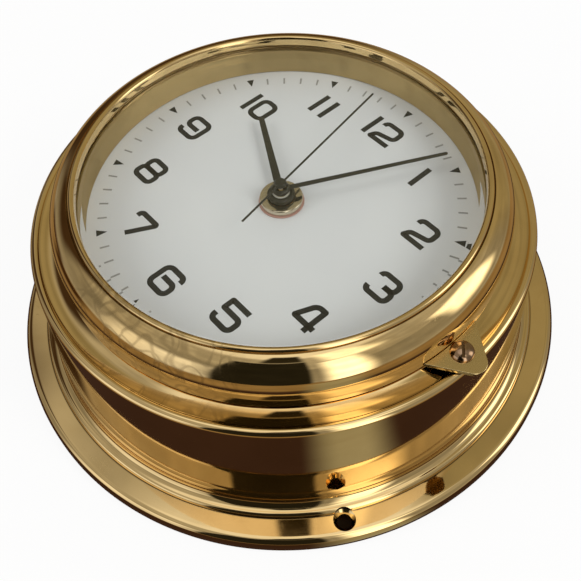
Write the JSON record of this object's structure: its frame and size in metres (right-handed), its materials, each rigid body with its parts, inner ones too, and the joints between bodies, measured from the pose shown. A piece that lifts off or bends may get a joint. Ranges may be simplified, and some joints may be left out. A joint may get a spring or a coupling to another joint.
{
  "type": "ships clock",
  "caption": "Round brass ships clock with a wall flange, hinged glazed bezel with lock screw, white numbered dial, three hands and a battery quartz movement.",
  "frame": {"origin": "centre of the flange's back face, where the clock meets the bulkhead", "axes": "+Z out of the dial, +Y to twelve o'clock, +X to three o'clock"},
  "size_m": [0.18, 0.18, 0.0631],
  "materials": {
    "polished_brass": "polished, lightly worn",
    "satin_brass": "satin, turned",
    "dial_paint": "matt white",
    "hand_black": "black enamel",
    "clear_glass": "clear, bevelled edge",
    "red_fibre": "vulcanised fibre",
    "rubber": "matt",
    "black_plastic": "fine moulded grain",
    "white_nylon": "moulded",
    "steel": "plain",
    "copper_wire": "enamelled wire",
    "green_board": "solder mask",
    "battery_shell": "plain printed jacket"
  },
  "bodies": {
    "case": {"case": "polished_brass", "dial": "dial_paint", "dial_ring": "satin_brass", "dial_ring_screw_1": "polished_brass", "dial_ring_screw_2": "polished_brass", "dial_ring_screw_3": "polished_brass", "case_knuckles": "polished_brass", "hinge_pin": "polished_brass", "hinge_screw_1": "polished_brass", "hinge_screw_2": "polished_brass", "center_bush": "polished_brass", "rubber_washer": "rubber", "dial_washer": "red_fibre", "dial_nut": "polished_brass", "movement_housing": "black_plastic", "movement_cover": "black_plastic", "battery": "battery_shell", "positive_contact": "steel", "negative_contact": "steel", "circuit_board": "green_board", "circuit_chip": "black_plastic", "quartz_crystal": "steel", "stator": "steel", "coil": "copper_wire"},
    "bezel": {"bezel": "polished_brass", "glass": "clear_glass", "glass_retainer": "polished_brass", "bezel_knuckle": "polished_brass", "lock_lug": "polished_brass"},
    "lock_screw": {"lock_screw": "polished_brass"},
    "minute": {"minute_arbor": "polished_brass", "minute_hand": "hand_black"},
    "hour": {"hour_wheel": "white_nylon", "hour_hand": "hand_black"},
    "minute_work": {"minute_work_wheel": "white_nylon"},
    "setting": {"setting_arbor": "white_nylon", "setting_knob": "black_plastic"},
    "seconds": {"seconds_wheel": "white_nylon", "second_hand": "hand_black"},
    "center_wheel": {"center_wheel": "white_nylon"},
    "third_wheel": {"third_wheel": "white_nylon"},
    "intermediate_wheel": {"intermediate_wheel": "white_nylon"},
    "rotor": {"rotor_shaft": "white_nylon", "rotor_magnet": "steel"}
  },
  "joints": [
    {"name": "bezel_hinge", "type": "hinge", "parent": "case", "child": "bezel", "pos_m": [-0.0707, 0, 0.0501], "axis": [0, -1, 0], "range_deg": [0, 110]},
    {"name": "lock_screw_turn", "type": "hinge", "parent": "bezel", "child": "lock_screw", "pos_m": [0.0716, 0, 0.0495], "axis": [0, 0, 1], "continuous": true},
    {"name": "minute_turn", "type": "hinge", "parent": "case", "child": "minute", "pos_m": [0, 0, 0.04], "axis": [0, 0, -1], "continuous": true},
    {"name": "hour_turn", "type": "hinge", "parent": "case", "child": "hour", "pos_m": [0, 0, 0.04], "axis": [0, 0, -1], "continuous": true},
    {"name": "minute_work_turn", "type": "hinge", "parent": "case", "child": "minute_work", "pos_m": [-0.009, 0, 0.04], "axis": [0, 0, -1], "continuous": true},
    {"name": "setting_turn", "type": "hinge", "parent": "case", "child": "setting", "pos_m": [-0.018, 0, 0.04], "axis": [0, 0, -1], "continuous": true},
    {"name": "second_turn", "type": "hinge", "parent": "case", "child": "seconds", "pos_m": [0, 0, 0.04], "axis": [0, 0, -1], "continuous": true},
    {"name": "center_wheel_turn", "type": "hinge", "parent": "case", "child": "center_wheel", "pos_m": [0, 0, 0.04], "axis": [0, 0, -1], "continuous": true},
    {"name": "third_wheel_turn", "type": "hinge", "parent": "case", "child": "third_wheel", "pos_m": [0, 0.0108, 0.04], "axis": [0, 0, -1], "continuous": true},
    {"name": "intermediate_wheel_turn", "type": "hinge", "parent": "case", "child": "intermediate_wheel", "pos_m": [0.0105, 0, 0.04], "axis": [0, 0, -1], "continuous": true},
    {"name": "rotor_turn", "type": "hinge", "parent": "case", "child": "rotor", "pos_m": [0.0141, 0.00624, 0.04], "axis": [0, 0, -1], "continuous": true}
  ],
  "couplings": [
    {"joint": "hour_turn", "follows": "minute_turn", "ratio": 0.083333},
    {"joint": "minute_work_turn", "follows": "minute_turn", "ratio": -0.33333},
    {"joint": "setting_turn", "follows": "minute_turn", "ratio": 1},
    {"joint": "center_wheel_turn", "follows": "second_turn", "ratio": 0.016667},
    {"joint": "third_wheel_turn", "follows": "second_turn", "ratio": -0.125},
    {"joint": "intermediate_wheel_turn", "follows": "second_turn", "ratio": -5},
    {"joint": "rotor_turn", "follows": "second_turn", "ratio": 30}
  ]
}
